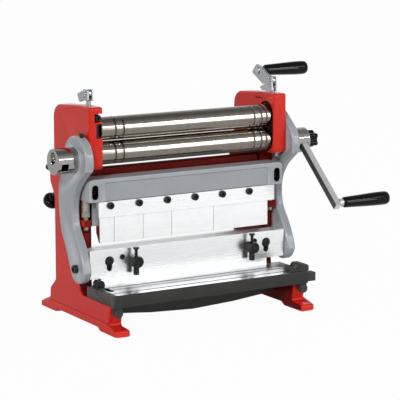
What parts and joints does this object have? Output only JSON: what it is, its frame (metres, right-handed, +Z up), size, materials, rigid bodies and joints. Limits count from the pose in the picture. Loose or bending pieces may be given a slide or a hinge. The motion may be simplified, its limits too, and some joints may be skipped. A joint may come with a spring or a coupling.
{
  "type": "slip roll machine",
  "caption": "Bench sheet metal machine: bending rolls over a finger brake and a shear, in two cast side frames, with a hand crank and eccentric arms.",
  "frame": {"origin": "middle of the machine's space on the floor, handles included", "axes": "+X along the rolls to the crank side, +Y from the bed to the rear, +Z up"},
  "size_m": [0.5418, 0.266, 0.3785],
  "materials": {
    "red_paint": "glossy red enamel on a casting",
    "grey_paint": "grey-blue enamel on a casting",
    "black_cast": "black casting, its top ground bright",
    "ground_steel": "surface ground",
    "polished_steel": "turned and polished",
    "bright_steel": "zinc plated",
    "chrome": "bright chrome plate",
    "black_oxide": "black oxide",
    "bronze": "machined bronze",
    "black_plastic": "glossy black moulding"
  },
  "bodies": {
    "base": {"left_side_frame": "red_paint", "right_side_frame": "red_paint", "rear_tie_bar": "red_paint", "bed_table": "black_cast", "lower_blade": "ground_steel", "side_guide": "black_oxide", "left_side_stop": "black_oxide", "left_roll_bush": "bronze", "right_roll_bush": "bronze", "left_beam_bolt": "black_oxide", "right_beam_bolt": "black_oxide"},
    "ram": {"ram_plate": "ground_steel", "ram_body": "ground_steel", "upper_blade": "ground_steel", "left_hold_down_bracket": "black_oxide", "right_hold_down_bracket": "black_oxide"},
    "left_hold_pin": {"left_hold_down_pin": "black_oxide"},
    "right_hold_pin": {"right_hold_down_pin": "black_oxide"},
    "left_hold_knob": {"left_hold_down_knob": "black_oxide"},
    "right_hold_knob": {"right_hold_down_knob": "black_oxide"},
    "beam": {"upper_beam": "grey_paint", "clamp_bar": "ground_steel", "brake_finger_1": "ground_steel", "brake_finger_2": "ground_steel", "brake_finger_3": "ground_steel", "brake_finger_4": "ground_steel", "brake_finger_5": "ground_steel", "clamp_screw_1": "black_oxide", "clamp_screw_2": "black_oxide", "clamp_screw_3": "black_oxide", "clamp_screw_4": "black_oxide", "clamp_screw_5": "black_oxide", "clamp_screw_6": "black_oxide"},
    "left_jack": {"left_jack_screw": "bronze"},
    "right_jack": {"right_jack_screw": "bronze"},
    "crank": {"lower_roll": "polished_steel", "lower_gear": "bright_steel", "left_eccentric_hub": "chrome", "right_eccentric_hub": "chrome", "crank_bar": "black_oxide"},
    "crank_handle": {"crank_grip": "black_plastic"},
    "crank_clamp": {"star_knob": "black_plastic"},
    "left_link": {"left_arm": "grey_paint", "left_arm_pin": "black_oxide"},
    "right_link": {"right_arm": "grey_paint", "right_arm_pin": "black_oxide"},
    "upper_blocks": {"left_upper_block": "black_oxide", "right_upper_block": "black_oxide"},
    "upper_roller": {"upper_roll": "polished_steel", "upper_gear": "bright_steel"},
    "left_screw": {"left_top_screw": "bright_steel"},
    "right_screw": {"right_top_screw": "bright_steel"},
    "left_lever": {"left_top_lever": "bright_steel"},
    "right_lever": {"right_top_lever": "bright_steel"},
    "top_handle": {"top_grip": "black_plastic"},
    "rear_blocks": {"left_rear_block": "black_oxide", "right_rear_block": "black_oxide"},
    "rear_roller": {"rear_roll": "polished_steel"},
    "left_rear_screw": {"left_rear_knob": "black_plastic"},
    "right_rear_screw": {"right_rear_knob": "black_plastic"}
  },
  "joints": [
    {"name": "crank_turn", "type": "hinge", "parent": "base", "child": "crank", "pos_m": [0, -0.01335, 0.2633], "axis": [1, 0, 0], "continuous": true},
    {"name": "crank_grip_spin", "type": "hinge", "parent": "crank", "child": "crank_handle", "pos_m": [0.2279, -0.1222, 0.16902], "axis": [1, 0, 0], "continuous": true},
    {"name": "star_knob_turn", "type": "hinge", "parent": "crank", "child": "crank_clamp", "pos_m": [0.19, -0.01335, 0.2558], "axis": [1, 0, 0], "range_deg": [0, 720]},
    {"name": "left_arm_swing", "type": "hinge", "parent": "crank", "child": "left_link", "pos_m": [-0.22865, -0.01335, 0.2558], "axis": [1, 0, 0], "continuous": true},
    {"name": "right_arm_swing", "type": "hinge", "parent": "crank", "child": "right_link", "pos_m": [0.14085, -0.01335, 0.2558], "axis": [1, 0, 0], "continuous": true},
    {"name": "upper_roll_spin", "type": "hinge", "parent": "upper_blocks", "child": "upper_roller", "pos_m": [0, -0.01335, 0.3003], "axis": [1, 0, 0], "continuous": true},
    {"name": "upper_lift", "type": "slide", "parent": "base", "child": "upper_blocks", "axis": [0, 0, 1], "range_m": [-0.0008, 0.0025]},
    {"name": "left_top_screw_turn", "type": "hinge", "parent": "upper_blocks", "child": "left_screw", "pos_m": [-0.2089, -0.01335, 0.34], "axis": [0, 0, 1], "range_deg": [-193, 601]},
    {"name": "right_top_screw_turn", "type": "hinge", "parent": "upper_blocks", "child": "right_screw", "pos_m": [0.1211, -0.01335, 0.34], "axis": [0, 0, 1], "range_deg": [-193, 601]},
    {"name": "left_lever_fold", "type": "hinge", "parent": "left_screw", "child": "left_lever", "pos_m": [-0.2089, -0.01335, 0.3558], "axis": [1, 0, 0], "range_deg": [0, 90]},
    {"name": "right_lever_fold", "type": "hinge", "parent": "right_screw", "child": "right_lever", "pos_m": [0.1211, -0.01335, 0.3558], "axis": [1, 0, 0], "range_deg": [-22, 65]},
    {"name": "top_grip_spin", "type": "hinge", "parent": "right_lever", "child": "top_handle", "pos_m": [0.1314, 0.02745, 0.3677], "axis": [1, 0, 0], "continuous": true},
    {"name": "rear_slide", "type": "slide", "parent": "base", "child": "rear_blocks", "axis": [0, -0.7071, 0.7071], "range_m": [0, 0.012]},
    {"name": "rear_roll_spin", "type": "hinge", "parent": "rear_blocks", "child": "rear_roller", "pos_m": [0, 0.03665, 0.254], "axis": [1, 0, 0], "continuous": true},
    {"name": "left_rear_screw_turn", "type": "hinge", "parent": "rear_blocks", "child": "left_rear_screw", "pos_m": [-0.2069, 0.03665, 0.254], "axis": [0, -0.7071, 0.7071], "range_deg": [0, 2881]},
    {"name": "right_rear_screw_turn", "type": "hinge", "parent": "rear_blocks", "child": "right_rear_screw", "pos_m": [0.1191, 0.03665, 0.254], "axis": [0, -0.7071, 0.7071], "range_deg": [0, 2881]},
    {"name": "beam_height", "type": "slide", "parent": "base", "child": "beam", "axis": [0, 0, 1], "range_m": [-0.0015, 0.005]},
    {"name": "left_jack_turn", "type": "hinge", "parent": "beam", "child": "left_jack", "pos_m": [-0.2111, -0.00495, 0.17], "axis": [0, 0, 1], "range_deg": [-433, 1441]},
    {"name": "right_jack_turn", "type": "hinge", "parent": "beam", "child": "right_jack", "pos_m": [0.1233, -0.00495, 0.17], "axis": [0, 0, 1], "range_deg": [-433, 1441]},
    {"name": "ram_slide", "type": "slide", "parent": "base", "child": "ram", "axis": [0, 0, 1], "range_m": [0, 0.015]},
    {"name": "left_hold_down_slide", "type": "slide", "parent": "ram", "child": "left_hold_pin", "axis": [0, 0, 1], "range_m": [-0.0115, 0]},
    {"name": "right_hold_down_slide", "type": "slide", "parent": "ram", "child": "right_hold_pin", "axis": [0, 0, 1], "range_m": [-0.0115, 0]},
    {"name": "left_hold_knob_turn", "type": "hinge", "parent": "ram", "child": "left_hold_knob", "pos_m": [-0.1454, -0.05165, 0.0955], "axis": [0, 1, 0], "range_deg": [0, 720]},
    {"name": "right_hold_knob_turn", "type": "hinge", "parent": "ram", "child": "right_hold_knob", "pos_m": [0.0646, -0.05165, 0.0955], "axis": [0, 1, 0], "range_deg": [0, 720]}
  ],
  "couplings": [
    {"joint": "left_arm_swing", "follows": "crank_turn", "ratio": -1},
    {"joint": "right_arm_swing", "follows": "crank_turn", "ratio": -1},
    {"joint": "upper_roll_spin", "follows": "crank_turn", "ratio": -1},
    {"joint": "left_top_screw_turn", "follows": "upper_lift", "rad_per_m": 4188.8},
    {"joint": "right_top_screw_turn", "follows": "upper_lift", "rad_per_m": 4188.8},
    {"joint": "left_rear_screw_turn", "follows": "rear_slide", "rad_per_m": 4188.8},
    {"joint": "right_rear_screw_turn", "follows": "rear_slide", "rad_per_m": 4188.8},
    {"joint": "left_jack_turn", "follows": "beam_height", "rad_per_m": 5026.6},
    {"joint": "right_jack_turn", "follows": "beam_height", "rad_per_m": 5026.6}
  ]
}
